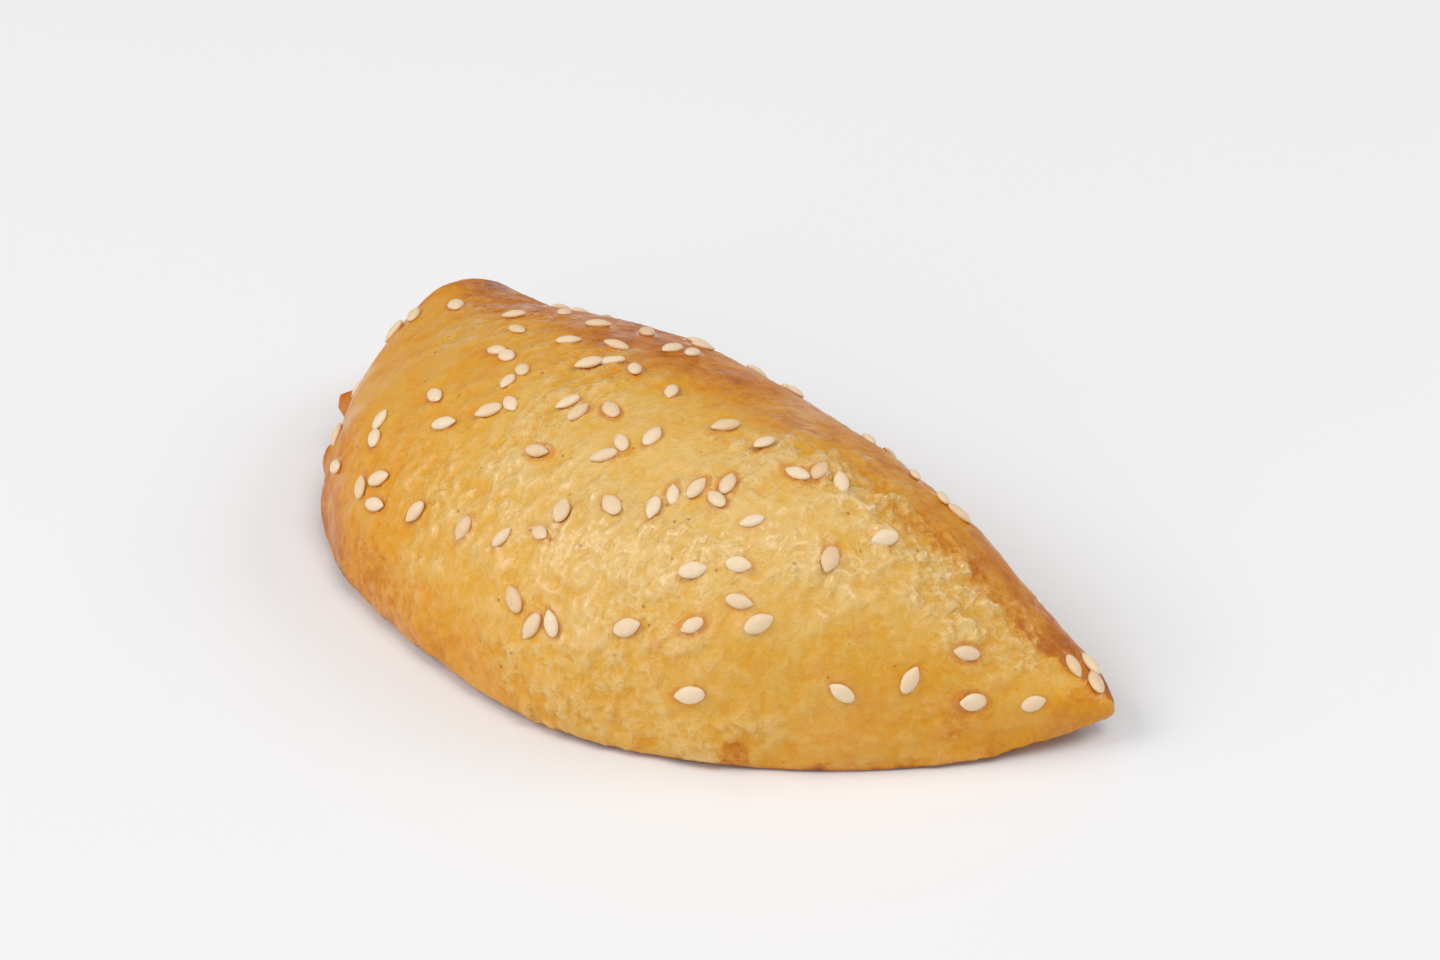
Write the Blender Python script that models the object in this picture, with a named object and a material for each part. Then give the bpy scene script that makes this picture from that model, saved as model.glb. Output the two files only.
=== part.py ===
"""A baked half-moon cheese pastry with sesame seeds on its crust, as one solid.

The body is lofted along X from its blunt tip (-X) to its pointed tip (+X). Each
cross-section is a rounded dome on a flat base, with the folded edge at +Y and the
sealed rim at -Y. It lies on its flat base at Z = 0, with the origin under the
middle of its box. The seeds are fused to the crust.
"""

import math
import random
from dataclasses import dataclass

import bmesh
import bpy
from mathutils import Matrix, Vector, noise
from mathutils.bvhtree import BVHTree

MM = 0.001
NODE_NAME = "cheese_pastry"

# The half moon's driving sizes
LENGTH = 100.0 * MM
HEIGHT = 25.4 * MM
RIM_REACH = 44.8 * MM  # from the line of the tips to the sealed rim
FOLD_REACH = 4.0 * MM  # from the line of the tips to the folded edge
RIDGE_SETBACK = 17.7 * MM  # from the line of the tips to the top of the dome
PEAK_PLACE = 0.27  # the tallest station, as a share of the half length
RIM_LEVEL = 2.7 * MM  # where the rim is widest
FOLD_LEVEL = 9.6 * MM  # where the fold is widest
TIP_LINE_Y = 20.4 * MM  # the line of the tips, from the origin

# The cross-section's roundness: 2 is an ellipse, more is squarer
RIM_SLOPE = 1.9
FOLD_SLOPE = 2.2
RIM_BASE_SLOPE = 4.0
FOLD_BASE_SLOPE = 3.0
BASE_OVERSHOOT = 1.3  # how far the base's curve would pass below the tray

# The loft's steps
STATIONS = 46
TOP_STEPS = 26
BASE_STEPS = 8

# The crust's relief
LUMP_DEPTH = 0.45 * MM
LUMP_SPACING = 11.0 * MM
PUCKER_DEPTH = 0.7 * MM
PUCKER_SPACING = 6.0 * MM
PUCKER_HEIGHT = 8.0 * MM
PUCKER_SLICE = 7.0  # the line through the noise that the puckers follow
RELIEF_START = 0.4 * MM
RELIEF_FULL = 3.5 * MM

# The sesame seeds
SEED_LENGTH = 3.0 * MM
SEED_WIDTH = 1.8 * MM
SEED_THICKNESS = 1.0 * MM
SEED_TAPER = 0.42
SEED_SINK = 0.30
SEED_SIZE_SPREAD = 0.12
SEED_SPACING = 5.0 * MM
NEIGHBOUR_SPACING = 2.35 * MM
NEIGHBOUR_CHANCE = 0.5
MOST_TOGETHER = 3
CLOSEST_SEEDS = 2.2 * MM
EDGE_MARGIN = 0.9 * MM
LOWEST_SEED = 2.2 * MM
SEED_TRIES = 1500
FOLD_SHARE = 0.5  # share of the seeds kept at the fold
PATCH_SPACING = 12.0 * MM  # between the patches where the seeds fell thickly
PATCH_SLICE = 203.5  # the plane through the noise that the patches follow
PATCH_BARE = -0.35  # no seed lies where the noise is below this
PATCH_FULL = -0.05  # no seed is left out where it is above this
NOSE_SEEDS = 3
NOSE_SEEDS_X = 46.4 * MM
RANDOM_SEED = 366


@dataclass(frozen=True)
class Tip:
    """One end of the half moon and how the body runs out to it."""

    nose_y: float
    nose_width: float
    nose_height: float
    nose_share: float
    lift: float
    rim_power: float
    rim_round: float
    ridge_power: float
    ridge_round: float


BLUNT_TIP = Tip(
    nose_y=-6.8 * MM,
    nose_width=7.4 * MM,
    nose_height=9.8 * MM,
    nose_share=0.08,
    lift=4.0 * MM,
    rim_power=3.9,
    rim_round=0.92,
    ridge_power=2.0,
    ridge_round=0.78,
)
POINTED_TIP = Tip(
    nose_y=1.0 * MM,
    nose_width=6.0 * MM,
    nose_height=5.4 * MM,
    nose_share=0.11,
    lift=1.8 * MM,
    rim_power=2.2,
    rim_round=0.94,
    ridge_power=3.0,
    ridge_round=2.0,
)
NOSE_LEVEL = 0.45  # the nose's widest level, as a share of its height
RIM_LEVEL_HOLD = 6  # how closely the rim keeps its level until the nose
FOLD_ROUND = 0.8
LIFT_START = 0.7
ROUND = 2.0  # the power of an elliptical run-out


def clear_scene():
    """Removes whatever the file opened with."""
    for thing in list(bpy.data.objects):
        bpy.data.objects.remove(thing, do_unlink=True)


def mix(low, high, share):
    """The value that lies a share of the way from low to high."""
    return low + (high - low) * share


def smooth_step(low, high, value):
    """0 below low, 1 above high, and a smooth run between them."""
    share = min(1.0, max(0.0, (value - low) / (high - low)))
    return share * share * (3.0 - 2.0 * share)


def run_out(place, power, roundness):
    """1 at the middle of the body, falling to 0 at a tip."""
    return max(0.0, 1.0 - abs(place) ** power) ** roundness


def plan_edges(place):
    """The rim's and the fold's Y at a place from -1 to 1 along the half length."""
    tip = BLUNT_TIP if place < 0.0 else POINTED_TIP
    half = tip.nose_width / 2.0
    rim = mix(tip.nose_y - half, -RIM_REACH, run_out(place, tip.rim_power, tip.rim_round))
    fold = mix(tip.nose_y + half, FOLD_REACH, run_out(place, ROUND, FOLD_ROUND))
    return rim, fold


def ridge_height(place):
    """The dome's height at a place along the half length, before its tip is lifted."""
    beyond = place - PEAK_PLACE
    tip = BLUNT_TIP if beyond < 0.0 else POINTED_TIP
    reach = beyond / (1.0 + math.copysign(PEAK_PLACE, -beyond))
    return mix(tip.nose_height, HEIGHT, run_out(reach, tip.ridge_power, tip.ridge_round))


def section_point(place, angle):
    """The smooth body's surface point, with the fold at angle 0 and the top at 90 degrees."""
    tip = BLUNT_TIP if place < 0.0 else POINTED_TIP
    rim, fold = plan_edges(place)
    middle = (rim + fold) / 2.0
    along, up = math.cos(angle), math.sin(angle)

    nose_level = tip.nose_height * NOSE_LEVEL
    ridge = mix(middle, -RIDGE_SETBACK, run_out(place, ROUND, 1.0))
    rim_level = mix(RIM_LEVEL, nose_level, abs(place) ** RIM_LEVEL_HOLD)
    fold_level = mix(nose_level, FOLD_LEVEL, run_out(place, ROUND, FOLD_ROUND))
    level = mix(rim_level, fold_level, (along + 1.0) / 2.0)

    if up >= 0.0:
        slope = RIM_SLOPE if along < 0.0 else FOLD_SLOPE
    else:
        slope = RIM_BASE_SLOPE if along < 0.0 else FOLD_BASE_SLOPE
    reach = ridge - rim if along < 0.0 else fold - ridge
    rise = ridge_height(place) - level if up >= 0.0 else level * BASE_OVERSHOOT
    y = ridge + math.copysign(reach * abs(along) ** (2.0 / slope), along)
    z = max(0.0, level + math.copysign(rise * abs(up) ** (2.0 / slope), up))

    beyond = (abs(place) - 1.0 + tip.nose_share) / tip.nose_share
    nose = math.sqrt(max(0.0, 1.0 - max(0.0, beyond) ** 2))
    nose_middle = ridge_height(place) * NOSE_LEVEL
    lift = tip.lift * max(0.0, (abs(place) - LIFT_START) / (1.0 - LIFT_START)) ** 2
    return Vector(
        (
            place * LENGTH / 2.0,
            mix(middle, y, nose) + TIP_LINE_Y,
            mix(nose_middle, z, nose) + lift,
        )
    )


def relief(point):
    """How far the crust swells or puckers at a point, along its normal."""
    lumps = noise.noise(point / LUMP_SPACING) * LUMP_DEPTH
    along_rim = Vector((point.x / PUCKER_SPACING, PUCKER_SLICE, 0.0))
    puckers = noise.noise(along_rim) * PUCKER_DEPTH
    puckers *= 1.0 - smooth_step(0.0, PUCKER_HEIGHT, point.z)
    return (lumps + puckers) * smooth_step(RELIEF_START, RELIEF_FULL, point.z)


def section_angles():
    """The loft's angles round a section, close together over the top and sparse below."""
    top = [math.pi * step / TOP_STEPS for step in range(TOP_STEPS + 1)]
    base = [math.pi * (1.0 + step / BASE_STEPS) for step in range(1, BASE_STEPS)]
    return top + base


def build_body():
    """The dough body as one closed mesh, with its relief."""
    places = [-math.cos(math.pi * step / STATIONS) for step in range(1, STATIONS)]
    angles = section_angles()
    mesh = bmesh.new()
    rings = [[mesh.verts.new(section_point(place, angle)) for angle in angles] for place in places]
    noses = [mesh.verts.new(section_point(end, 0.0)) for end in (-1.0, 1.0)]

    count = len(angles)
    for near, far in zip(rings, rings[1:]):
        for step in range(count):
            after = (step + 1) % count
            mesh.faces.new((near[step], near[after], far[after], far[step]))
    for nose, ring in zip(noses, (rings[0], rings[-1])):
        for step in range(count):
            mesh.faces.new((nose, ring[step], ring[(step + 1) % count]))
    bmesh.ops.recalc_face_normals(mesh, faces=mesh.faces)

    mesh.normal_update()
    for vertex in mesh.verts:
        vertex.co += vertex.normal * relief(vertex.co)
    bmesh.ops.triangulate(mesh, faces=mesh.faces)

    data = bpy.data.meshes.new(NODE_NAME)
    mesh.to_mesh(data)
    mesh.free()
    body = bpy.data.objects.new(NODE_NAME, data)
    bpy.context.collection.objects.link(body)
    return body


def across(x, y):
    """How far over the body a plan position lies: 0 at the rim's margin, 1 at the fold's."""
    place = x / (LENGTH / 2.0)
    if abs(place) >= 1.0:
        return -1.0
    rim, fold = plan_edges(place)
    return (y - TIP_LINE_Y - rim - EDGE_MARGIN) / (fold - rim - 2.0 * EDGE_MARGIN)


def nose_places():
    """Plan positions of the few seeds that ring the pointed tip."""
    radius = NEIGHBOUR_SPACING / math.sqrt(3.0)
    middle = TIP_LINE_Y + POINTED_TIP.nose_y
    bearings = [math.tau * number / NOSE_SEEDS for number in range(NOSE_SEEDS)]
    return [(NOSE_SEEDS_X + radius * math.cos(b), middle + radius * math.sin(b)) for b in bearings]


def patch_share(x, y):
    """The share of the seeds kept at a plan position, so that they lie thick in patches."""
    height = noise.noise(Vector((x / PATCH_SPACING, y / PATCH_SPACING, PATCH_SLICE)))
    return min(1.0, max(0.0, (height - PATCH_BARE) / (PATCH_FULL - PATCH_BARE)))


def seed_places():
    """Plan positions, turns and sizes of the seeds, sprinkled from above, up to three together."""
    draw = random.Random(RANDOM_SEED)
    singles, seeds = [], []

    def sow(spots):
        for x, y in spots:
            turn = draw.uniform(0.0, math.tau)
            size = draw.uniform(1.0 - SEED_SIZE_SPREAD, 1.0 + SEED_SIZE_SPREAD)
            clear = all(math.hypot(x - a, y - b) > CLOSEST_SEEDS for a, b, _, _ in seeds)
            if 0.0 < across(x, y) < 1.0 and clear:
                seeds.append((x, y, turn, size))

    sow(nose_places())
    for _ in range(SEED_TRIES):
        x = draw.uniform(-LENGTH / 2.0, LENGTH / 2.0)
        y = draw.uniform(-RIM_REACH, FOLD_REACH) + TIP_LINE_Y
        kept = draw.random() < mix(1.0, FOLD_SHARE, across(x, y)) * patch_share(x, y)
        apart = all(math.hypot(x - a, y - b) > SEED_SPACING for a, b in singles)
        if not (kept and apart and 0.0 < across(x, y) < 1.0):
            continue
        singles.append((x, y))
        spots = [(x, y)]
        while len(spots) < MOST_TOGETHER and draw.random() < NEIGHBOUR_CHANCE:
            bearing = draw.uniform(0.0, math.tau)
            step_x, step_y = math.cos(bearing), math.sin(bearing)
            spots.append((x + step_x * NEIGHBOUR_SPACING, y + step_y * NEIGHBOUR_SPACING))
        sow(spots)
    return seeds


def seed_mesh():
    """One low seed: an ellipsoid drawn out to a point at +X."""
    mesh = bmesh.new()
    bmesh.ops.create_uvsphere(mesh, u_segments=6, v_segments=4, radius=1.0)
    bmesh.ops.rotate(mesh, verts=mesh.verts, matrix=Matrix.Rotation(math.pi / 2.0, 3, "Y"))
    for vertex in mesh.verts:
        taper = 1.0 - SEED_TAPER * max(0.0, vertex.co.x)
        vertex.co = Vector(
            (
                vertex.co.x * SEED_LENGTH / 2.0,
                vertex.co.y * taper * SEED_WIDTH / 2.0,
                vertex.co.z * taper * SEED_THICKNESS / 2.0,
            )
        )
    bmesh.ops.recalc_face_normals(mesh, faces=mesh.faces)
    bmesh.ops.triangulate(mesh, faces=mesh.faces)
    data = bpy.data.meshes.new("sesame_seed")
    mesh.to_mesh(data)
    mesh.free()
    return data


def seat_seeds(body):
    """A collection of seeds that lie flat on the crust, part sunk in it."""
    tree = BVHTree.FromObject(body, bpy.context.evaluated_depsgraph_get())
    data = seed_mesh()
    seeds = bpy.data.collections.new("sesame_seeds")
    bpy.context.scene.collection.children.link(seeds)
    for number, (x, y, turn, size) in enumerate(seed_places()):
        spot, normal, _, _ = tree.ray_cast(Vector((x, y, HEIGHT * 2.0)), Vector((0.0, 0.0, -1.0)))
        if spot is None or spot.z < LOWEST_SEED:
            continue
        seed = bpy.data.objects.new(f"seed_{number}", data)
        flat = normal.to_track_quat("Z", "Y").to_matrix() @ Matrix.Rotation(turn, 3, "Z")
        rise = SEED_THICKNESS * (0.5 - SEED_SINK) * size
        seed.matrix_world = Matrix.LocRotScale(spot + normal * rise, flat, Vector((size,) * 3))
        seeds.objects.link(seed)
    return seeds


def fuse(body, seeds):
    """Joins every seed to the body in one union and removes the loose seeds."""
    union = body.modifiers.new("fuse_seeds", "BOOLEAN")
    union.operation = "UNION"
    union.operand_type = "COLLECTION"
    union.collection = seeds
    union.solver = "EXACT"
    bpy.context.view_layer.update()
    shape = body.evaluated_get(bpy.context.evaluated_depsgraph_get())
    fused = bpy.data.meshes.new_from_object(shape)
    body.modifiers.clear()
    body.data = fused
    for seed in list(seeds.objects):
        bpy.data.objects.remove(seed, do_unlink=True)
    bpy.data.collections.remove(seeds)


def crust_material():
    """Golden egg-washed crust."""
    material = bpy.data.materials.new("baked_crust")
    material.use_nodes = True
    shader = material.node_tree.nodes["Principled BSDF"]
    shader.inputs["Base Color"].default_value = (0.72, 0.43, 0.12, 1.0)
    shader.inputs["Roughness"].default_value = 0.42
    shader.inputs["Metallic"].default_value = 0.0
    return material


def main():
    """Builds the pastry."""
    clear_scene()
    body = build_body()
    fuse(body, seat_seeds(body))
    body.data.materials.clear()
    body.data.materials.append(crust_material())
    body.data.shade_smooth()
    body.data.set_sharp_from_angle(angle=math.radians(40.0))


main()
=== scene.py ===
"""Dresses a baked half-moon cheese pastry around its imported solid.

The crust is the solid's own form at a finer step, with the wrinkled, egg-washed skin and the
browning of the real one, and the sesame seeds lie where the solid has them. Sizes are in metres,
with +X towards the pointed tip, +Y towards the folded edge and +Z up.
"""

from __future__ import annotations

import logging
import math
import random
from collections.abc import Sequence
from dataclasses import dataclass, field, replace
from enum import Enum

import bmesh
import bpy
import numpy as np
from mathutils import Matrix, Vector, noise
from mathutils.bvhtree import BVHTree


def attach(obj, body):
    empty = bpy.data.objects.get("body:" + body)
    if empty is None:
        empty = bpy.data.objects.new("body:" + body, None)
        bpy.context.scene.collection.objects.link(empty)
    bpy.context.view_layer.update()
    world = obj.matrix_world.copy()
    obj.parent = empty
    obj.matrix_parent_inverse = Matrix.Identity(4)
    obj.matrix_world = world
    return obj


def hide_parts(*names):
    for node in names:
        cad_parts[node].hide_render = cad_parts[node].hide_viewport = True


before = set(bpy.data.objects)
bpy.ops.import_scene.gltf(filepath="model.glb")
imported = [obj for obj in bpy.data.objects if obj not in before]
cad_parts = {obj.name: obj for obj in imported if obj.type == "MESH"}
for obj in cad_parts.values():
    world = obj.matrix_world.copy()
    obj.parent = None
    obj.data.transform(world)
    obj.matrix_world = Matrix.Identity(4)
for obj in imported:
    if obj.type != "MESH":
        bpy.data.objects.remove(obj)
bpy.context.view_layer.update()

MM = 0.001
BODY = "root"
SOLID = "cheese_pastry"
LOG = logging.getLogger("pastry")

Colour = tuple[float, float, float, float]
Patches = tuple[float, float]  # a noise's spacing, and which noise it is


def tone(red: int, green: int, blue: int) -> Colour:
    """Turns a colour as a screen shows it, in steps of 255, into a shader's linear colour.

    Args:
        red: The red step.
        green: The green step.
        blue: The blue step.

    Returns:
        Red, green, blue and an alpha of 1.
    """

    def linear(step: int) -> float:
        """The light that one step stands for."""
        share = step / 255.0
        return share / 12.92 if share <= 0.04045 else ((share + 0.055) / 1.055) ** 2.4

    return linear(red), linear(green), linear(blue), 1.0


class Wire:
    """A node's output that takes part in Python arithmetic, which adds Math nodes."""

    def __init__(self, bench: Bench, socket: bpy.types.NodeSocket) -> None:
        """Holds the output and the bench that its tree is built on."""
        self.bench = bench
        self.socket = socket

    def __add__(self, other: Number) -> Wire:
        """The sum."""
        return self.bench.math("ADD", self, other)

    def __radd__(self, other: Number) -> Wire:
        """The sum, from the right."""
        return self.bench.math("ADD", other, self)

    def __sub__(self, other: Number) -> Wire:
        """The difference."""
        return self.bench.math("SUBTRACT", self, other)

    def __rsub__(self, other: Number) -> Wire:
        """The difference, from the right."""
        return self.bench.math("SUBTRACT", other, self)

    def __mul__(self, other: Number) -> Wire:
        """The product."""
        return self.bench.math("MULTIPLY", self, other)

    def __rmul__(self, other: Number) -> Wire:
        """The product, from the right."""
        return self.bench.math("MULTIPLY", other, self)

    def __truediv__(self, other: Number) -> Wire:
        """The quotient."""
        return self.bench.math("DIVIDE", self, other)

    def __rtruediv__(self, other: Number) -> Wire:
        """The quotient, from the right."""
        return self.bench.math("DIVIDE", other, self)

    def __pow__(self, other: Number) -> Wire:
        """The power."""
        return self.bench.math("POWER", self, other)

    def __lt__(self, other: Number) -> Wire:
        """1 where this is the smaller, else 0."""
        return self.bench.math("LESS_THAN", self, other)


Number = Wire | float


@dataclass(frozen=True)
class Ramp:
    """A smooth run from one value to another, between two places."""

    low: float
    high: float
    start: float = 0.0
    end: float = 1.0

    def over(self, places: np.ndarray) -> np.ndarray:
        """The run's value at each place of a whole array."""
        share = np.clip((places - self.low) / (self.high - self.low), 0.0, 1.0)
        return self.start + (self.end - self.start) * share * share * (3.0 - 2.0 * share)


@dataclass(frozen=True)
class Zone(Ramp):
    """A part of the crust that bakes darker. Its end is how much, and its edge drifts with noise."""

    drift: float = 0.0

    def over(self, places: np.ndarray, noise_height: np.ndarray | float = 0.0) -> np.ndarray:
        """How much darker each point is.

        Args:
            places: Where each point lies on the measure that the zone runs on.
            noise_height: The noise that its edge drifts with.

        Returns:
            The share for each point.
        """
        return super().over(places + self.drift * noise_height)


@dataclass(frozen=True)
class Swell:
    """One smooth noise: its spacing, finer layers and warp, and which noise it is."""

    spacing: Number
    detail: float
    warp: float
    seed: float


class Bench:
    """A node tree with one method that adds any node, and short words for the common ones."""

    # The Mix node's colour sockets share their names with others, so they go by number.
    COLOUR_MIX = {"data_type": "RGBA", "clamp_factor": True}
    COLOUR_LOW = 6
    COLOUR_HIGH = 7
    COLOUR_RESULT = 2

    # Ridges follow the lines where one noise crosses its middle, and break off where another is low.
    RIDGE = Ramp(0.0, 0.28, 1.0, 0.0)
    RIDGE_WARP = 1.2
    BREAKS = Ramp(0.42, 0.56)
    BREAK_WARP = 0.5
    BREAK_SPACING = 0.8
    BREAK_SEED = 20.0

    # Pleats run from the rim to the fold: noise is squeezed along the body and stretched over it.
    SQUEEZE = 1.25
    STRETCH = 0.82

    def __init__(self, tree: bpy.types.NodeTree) -> None:
        """Takes the tree to build in."""
        self.tree = tree

    def add(self, kind: str, settings: dict | None = None, inputs: dict | None = None) -> bpy.types.Node:
        """Adds one node.

        Args:
            kind: Blender's name for the node's type.
            settings: Its options, set first. "stops" are a ramp's positions and colours.
            inputs: Values or wires for its sockets, by name or number.

        Returns:
            The new node.
        """
        node = self.tree.nodes.new(kind)
        for option, value in (settings or {}).items():
            if option == "stops":
                self._set_stops(node.color_ramp, value)
            else:
                setattr(node, option, value)
        for socket, value in (inputs or {}).items():
            if isinstance(value, Wire):
                self.tree.links.new(value.socket, node.inputs[socket])
            else:
                node.inputs[socket].default_value = value
        return node

    @staticmethod
    def _set_stops(ramp: bpy.types.ColorRamp, stops: list[tuple[float, Colour]]) -> None:
        """Gives a ramp its stops.

        Args:
            ramp: The ramp.
            stops: Positions and colours, in rising order.
        """
        while len(ramp.elements) < len(stops):
            ramp.elements.new(1.0)
        for element, (position, colour) in zip(ramp.elements, stops):
            element.position = position
            element.color = colour

    def wire(self, node: bpy.types.Node, output: str | int = 0) -> Wire:
        """One output of a node, ready for arithmetic."""
        return Wire(self, node.outputs[output])

    def math(self, operation: str, *values: Number) -> Wire:
        """A Math node on up to three values."""
        return self.wire(self.add("ShaderNodeMath", {"operation": operation}, dict(enumerate(values))))

    def mix(self, low: Number, high: Number, share: Number) -> Wire:
        """The value a share of the way from low to high, as sums and products."""
        return low + (high - low) * share

    def blend(self, low: Wire | Colour, high: Wire | Colour, share: Number) -> Wire:
        """The colour a share of the way from low to high, kept between them."""
        ends = {0: share, self.COLOUR_LOW: low, self.COLOUR_HIGH: high}
        return self.wire(self.add("ShaderNodeMix", self.COLOUR_MIX, ends), self.COLOUR_RESULT)

    def ease(self, value: Number, ramp: Ramp) -> Wire:
        """A ramp's value at the place that a wire gives.

        Args:
            value: The place on the ramp.
            ramp: The ramp.

        Returns:
            Its value there.
        """
        places = {"Value": value, "From Min": ramp.low, "From Max": ramp.high}
        ends = {"To Min": ramp.start, "To Max": ramp.end}
        smooth = {"interpolation_type": "SMOOTHSTEP"}
        return self.wire(self.add("ShaderNodeMapRange", smooth, {**places, **ends}))

    def vector(self, x: Number, y: Number, z: Number) -> Wire:
        """Three numbers as one vector."""
        return self.wire(self.add("ShaderNodeCombineXYZ", inputs={0: x, 1: y, 2: z}))

    def attribute(self, name: str) -> Wire:
        """A number that a mesh carries on each point, as its material reads it."""
        return self.wire(self.add("ShaderNodeAttribute", {"attribute_name": name}), "Fac")

    def pleats(self, place: Wire) -> Wire:
        """The place drawn out from the rim to the fold, so that noise read there makes pleats."""
        along, side, height = self.split(place)
        return self.vector(along * self.SQUEEZE, side * self.STRETCH, height * self.STRETCH)

    def split(self, vector: Wire) -> tuple[Wire, Wire, Wire]:
        """A vector's three numbers."""
        node = self.add("ShaderNodeSeparateXYZ", inputs={0: vector})
        return self.wire(node, 0), self.wire(node, 1), self.wire(node, 2)

    def noise(self, place: Wire, swell: Swell) -> Wire:
        """Smooth noise.

        Args:
            place: Where it is read, in metres.
            swell: Which noise it is, and how coarse.

        Returns:
            The noise, from 0 to 1.
        """
        looks = {"W": swell.seed, "Detail": swell.detail, "Distortion": swell.warp}
        sizes = {"Vector": place, "Scale": 1.0 / swell.spacing, **looks}
        return self.wire(self.add("ShaderNodeTexNoise", {"noise_dimensions": "4D"}, sizes))

    def swing(self, place: Wire, swell: Swell) -> Wire:
        """The same noise, from -1 to 1."""
        return self.noise(place, swell) * 2.0 - 1.0

    def ridges(self, place: Wire, spacing: Number, seed: float) -> Wire:
        """Short rounded ridges of skin.

        Args:
            place: Where they are read, in metres.
            spacing: How far apart they are, in metres.
            seed: Which ridges they are.

        Returns:
            1 on their crests and 0 between them.
        """
        swell = self.swing(place, Swell(spacing, 1.0, self.RIDGE_WARP, seed))
        crest = self.ease(self.math("ABSOLUTE", swell), self.RIDGE)
        breaks = Swell(spacing * self.BREAK_SPACING, 1.0, self.BREAK_WARP, seed + self.BREAK_SEED)
        return crest * self.ease(self.noise(place, breaks), self.BREAKS)

    def cells(self, place: Wire, spacing: float) -> Wire:
        """The distance to the nearest of many scattered points, in steps of their spacing."""
        sizes = {"Vector": place, "Scale": 1.0 / spacing}
        return self.wire(self.add("ShaderNodeTexVoronoi", {"feature": "F1"}, sizes))


class Recipe:
    """A Geometry Nodes tree whose sizes are named inputs. It runs once and leaves a plain mesh."""

    # The Random Value node's sockets for a plain number share their names too.
    RANDOM_LOW = 2
    RANDOM_HIGH = 3
    RANDOM_RESULT = 1

    def __init__(self, name: str, sizes: dict[str, float | int]) -> None:
        """Makes the tree with its inputs.

        Args:
            name: The tree's name.
            sizes: Each input's label and value.
        """
        self.sizes = sizes
        self.tree = bpy.data.node_groups.new(name, "GeometryNodeTree")
        self.bench = Bench(self.tree)
        face = self.tree.interface
        face.new_socket("Geometry", in_out="INPUT", socket_type="NodeSocketGeometry")
        face.new_socket("Geometry", in_out="OUTPUT", socket_type="NodeSocketGeometry")
        for label, value in sizes.items():
            kind = "NodeSocketInt" if isinstance(value, int) else "NodeSocketFloat"
            face.new_socket(label, in_out="INPUT", socket_type=kind).default_value = value
        self.entry = self.tree.nodes.new("NodeGroupInput")
        self.exit = self.tree.nodes.new("NodeGroupOutput")

    def size(self, label: str) -> Wire:
        """One of the named inputs, or the geometry that comes in."""
        return self.bench.wire(self.entry, label)

    def attribute(self, name: str, kind: str) -> Wire:
        """A named attribute of the mesh that the tree works on."""
        node = self.bench.add("GeometryNodeInputNamedAttribute", {"data_type": kind}, {"Name": name})
        return self.bench.wire(node)

    def random(self, low: float, high: float, seed: Number) -> Wire:
        """An even random number for each instance.

        Args:
            low: The least that it can be.
            high: The most that it can be.
            seed: Which run of numbers it comes from.

        Returns:
            The number.
        """
        ends = {self.RANDOM_LOW: low, self.RANDOM_HIGH: high, "Seed": seed}
        node = self.bench.add("FunctionNodeRandomValue", {"data_type": "FLOAT"}, ends)
        return self.bench.wire(node, self.RANDOM_RESULT)

    def store(self, geometry: Wire, name: str, value: Number, domain: str = "POINT") -> Wire:
        """Writes a number on each point or instance under a name that a material can read.

        Args:
            geometry: What carries it.
            name: Its name.
            value: The number.
            domain: POINT or INSTANCE.

        Returns:
            The same geometry, with the number on it.
        """
        settings = {"data_type": "FLOAT", "domain": domain}
        inputs = {"Geometry": geometry, "Name": name, "Value": value}
        return self.bench.wire(self.bench.add("GeometryNodeStoreNamedAttribute", settings, inputs))

    def place(self, geometry: Wire, **moves: Wire) -> Wire:
        """Sets positions, by Position or by Offset."""
        inputs = {"Geometry": geometry, **moves}
        return self.bench.wire(self.bench.add("GeometryNodeSetPosition", inputs=inputs))

    def close(self, geometry: Wire, material: bpy.types.Material) -> None:
        """Ends the tree: instances made real, and the material set.

        Args:
            geometry: What the tree has made.
            material: The material that it takes.
        """
        real = self.bench.add("GeometryNodeRealizeInstances", inputs={"Geometry": geometry})
        inputs = {"Geometry": self.bench.wire(real), "Material": material}
        dressed = self.bench.add("GeometryNodeSetMaterial", inputs=inputs)
        self.tree.links.new(dressed.outputs[0], self.exit.inputs[0])

    def run(self, start: bpy.types.Object) -> bpy.types.Object:
        """Runs the tree on an object and leaves the result as its plain mesh.

        Args:
            start: The object whose mesh the tree takes in.

        Returns:
            The same object, with no modifier.
        """
        modifier = start.modifiers.new(self.tree.name, "NODES")
        modifier.node_group = self.tree
        for item in self.tree.interface.items_tree:
            if item.in_out == "INPUT" and item.name in self.sizes:
                modifier[item.identifier] = self.sizes[item.name]
        bpy.context.view_layer.update()
        graph = bpy.context.evaluated_depsgraph_get()
        shape = start.evaluated_get(graph)
        made = bpy.data.meshes.new_from_object(shape, preserve_all_data_layers=True, depsgraph=graph)
        start.modifiers.clear()
        start.data = made
        return start


def new_object(name: str, data: bpy.types.ID | None = None) -> bpy.types.Object:
    """Makes an object at the origin and links it to the scene.

    Args:
        name: The object's name.
        data: Its mesh, light or camera, or nothing for an empty mesh.

    Returns:
        The object.
    """
    thing = bpy.data.objects.new(name, data or bpy.data.meshes.new(name))
    bpy.context.scene.collection.objects.link(thing)
    return thing


def read_points(mesh: bpy.types.Mesh, field_name: str) -> np.ndarray:
    """Reads a vector from each point of a mesh.

    Args:
        mesh: The mesh.
        field_name: Which vector: "co" for the position, or "normal".

    Returns:
        The vectors, one to a row.
    """
    values = np.zeros(len(mesh.vertices) * 3, np.float32)
    mesh.vertices.foreach_get(field_name, values)
    return values.reshape(-1, 3).astype(float)


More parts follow.
